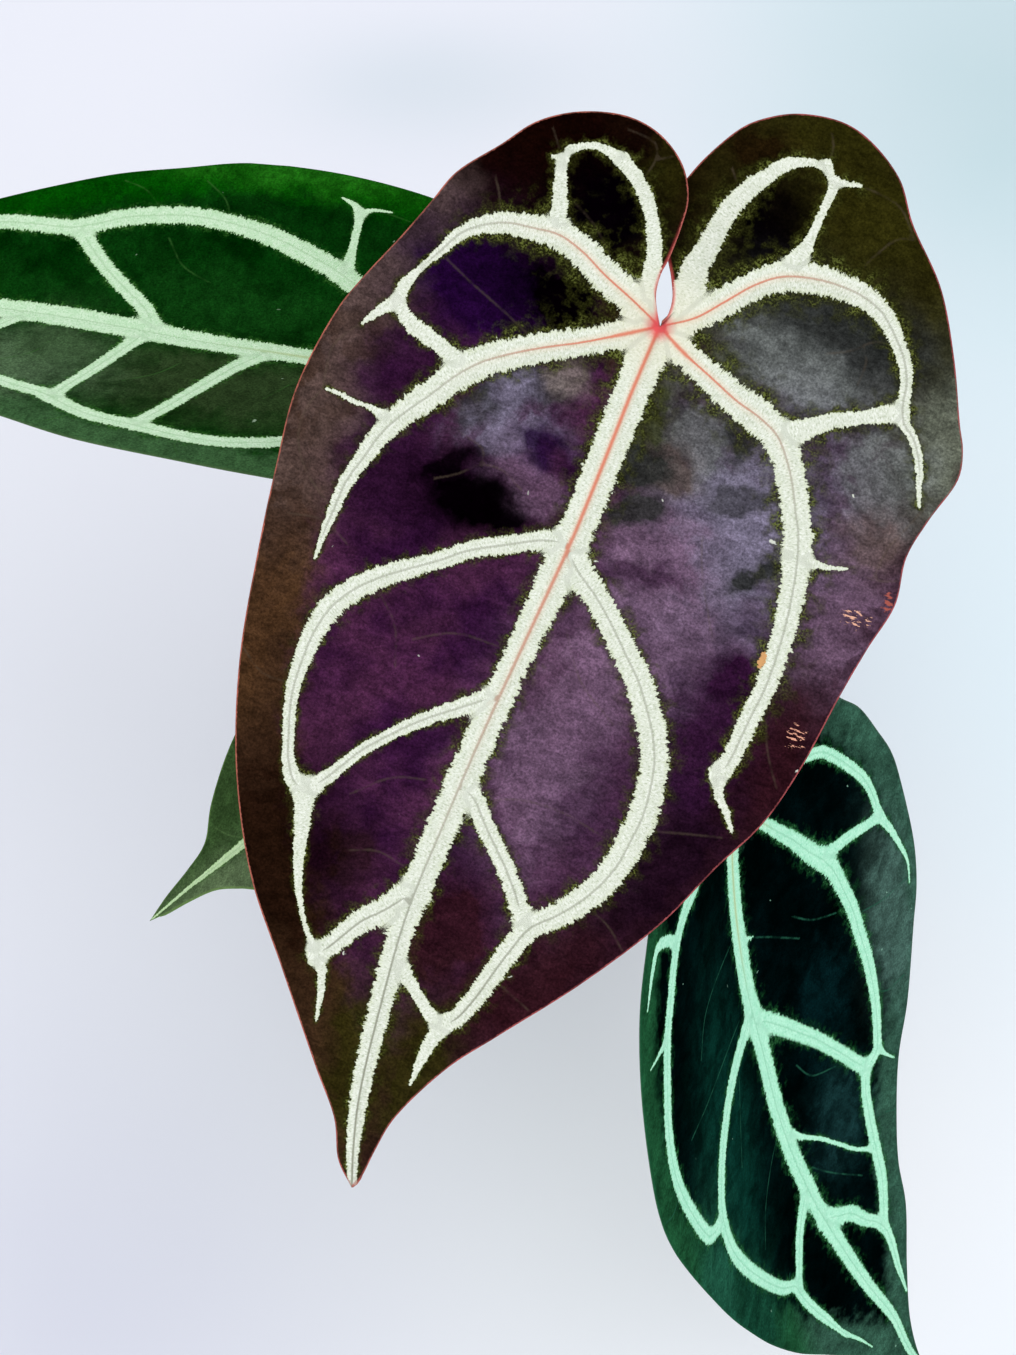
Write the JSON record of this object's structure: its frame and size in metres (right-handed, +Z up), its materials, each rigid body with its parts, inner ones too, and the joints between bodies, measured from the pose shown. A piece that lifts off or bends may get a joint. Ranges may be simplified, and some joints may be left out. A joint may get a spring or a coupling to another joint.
{
  "type": "potted anthurium",
  "caption": "Potted velvet-leaf anthurium: heart-shaped leaves with pale veins on slender stalks, in a plain round pot.",
  "frame": {"origin": "centre of the pot's flat base, on the surface it stands on", "axes": "+Z up out of the pot; -Y is the side that the main leaf faces and that the picture is taken from; the left leaf points to -X"},
  "size_m": [0.3157, 0.2735, 0.346],
  "materials": {
    "pot_plastic": "moulded plain matte plastic, charcoal",
    "bark_mix": "rough bark chips with white perlite",
    "stem_bark": "green-brown ringed stem",
    "dry_sheath": "dry papery fibre",
    "leaf_stalk": "smooth green-brown stalk",
    "purple_blade": "velvety dark purple leaf with silver veins and a red edge",
    "green_blade": "velvety green leaf with pale mint veins",
    "dark_green_blade": "velvety blue-green leaf with mint veins",
    "young_green_blade": "smooth mid-green leaf"
  },
  "bodies": {
    "root": {"pot": "pot_plastic", "potting_mix": "bark_mix", "stem": "stem_bark", "cataphyll_back": "dry_sheath", "cataphyll_side": "dry_sheath", "petiole_main": "leaf_stalk", "petiole_left": "leaf_stalk", "petiole_right": "leaf_stalk", "petiole_small": "leaf_stalk", "leaf_main": "purple_blade", "leaf_left": "green_blade", "leaf_right": "dark_green_blade", "leaf_small": "young_green_blade"}
  },
  "joints": []
}
